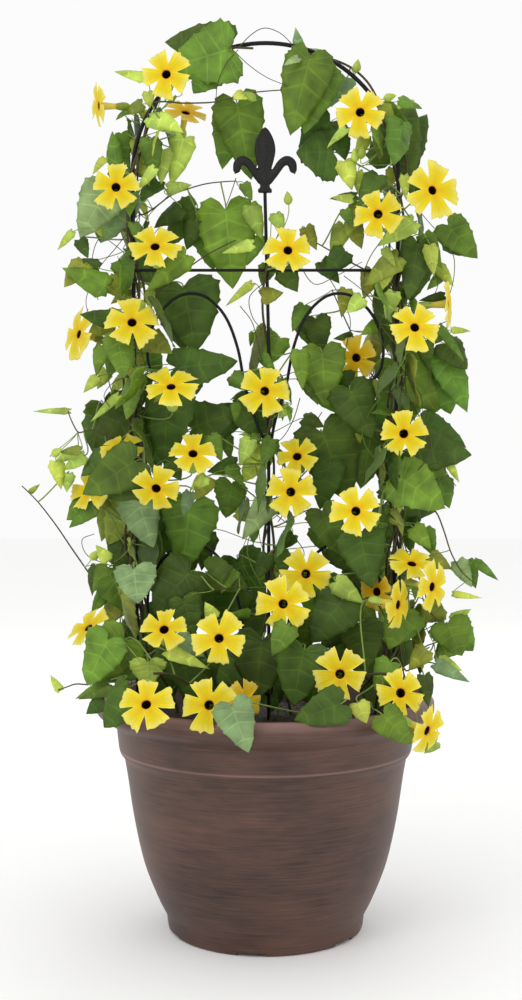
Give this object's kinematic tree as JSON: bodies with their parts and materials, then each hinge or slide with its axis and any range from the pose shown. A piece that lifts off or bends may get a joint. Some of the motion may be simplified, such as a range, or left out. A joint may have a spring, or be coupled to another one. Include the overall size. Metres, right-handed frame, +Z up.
{
  "type": "black eyed susan vine",
  "caption": "Black eyed susan vine in bloom on an arched wire trellis with a fleur-de-lis finial, growing in a turned planter with a flared lip.",
  "frame": {"origin": "centre of the planter's flat underside", "axes": "+Z up, -Y towards the viewer of the trellis's front, +X to the viewer's right"},
  "size_m": [0.4278, 0.3289, 0.8376],
  "materials": {
    "planter_resin": "satin",
    "potting_soil": "matte",
    "trellis_wire": "satin",
    "finial_iron": "matte",
    "vine_green": "satin",
    "petal_yellow": "matte"
  },
  "bodies": {
    "root": {"pot": "planter_resin", "soil": "potting_soil", "trellis": "trellis_wire", "finial": "finial_iron", "vine_left_a": "vine_green", "vine_left_b": "vine_green", "vine_left_c": "vine_green", "vine_left_d": "vine_green", "vine_right_a": "vine_green", "vine_right_b": "vine_green", "vine_right_c": "vine_green", "vine_right_d": "vine_green", "vine_centre_a": "vine_green", "vine_centre_b": "vine_green", "vine_low_front_left": "vine_green", "vine_low_front_right": "vine_green", "vine_low_back_left": "vine_green", "vine_low_back_right": "vine_green", "bloom_01": "petal_yellow", "bloom_02": "petal_yellow", "bloom_03": "petal_yellow", "bloom_04": "petal_yellow", "bloom_05": "petal_yellow", "bloom_06": "petal_yellow", "bloom_07": "petal_yellow", "bloom_08": "petal_yellow", "bloom_09": "petal_yellow", "bloom_10": "petal_yellow", "bloom_11": "petal_yellow", "bloom_12": "petal_yellow", "bloom_13": "petal_yellow", "bloom_14": "petal_yellow", "bloom_15": "petal_yellow", "bloom_16": "petal_yellow", "bloom_17": "petal_yellow", "bloom_18": "petal_yellow", "bloom_19": "petal_yellow", "bloom_20": "petal_yellow", "bloom_21": "petal_yellow", "bloom_22": "petal_yellow", "bloom_23": "petal_yellow", "bloom_24": "petal_yellow", "bloom_25": "petal_yellow", "bloom_26": "petal_yellow", "bloom_27": "petal_yellow", "bloom_28": "petal_yellow", "bloom_29": "petal_yellow", "bloom_30": "petal_yellow", "bloom_31": "petal_yellow", "bloom_32": "petal_yellow", "bloom_33": "petal_yellow", "bloom_34": "petal_yellow", "bloom_35": "petal_yellow", "bloom_36": "petal_yellow", "bloom_37": "petal_yellow", "bloom_38": "petal_yellow", "bloom_39": "petal_yellow"}
  },
  "joints": []
}
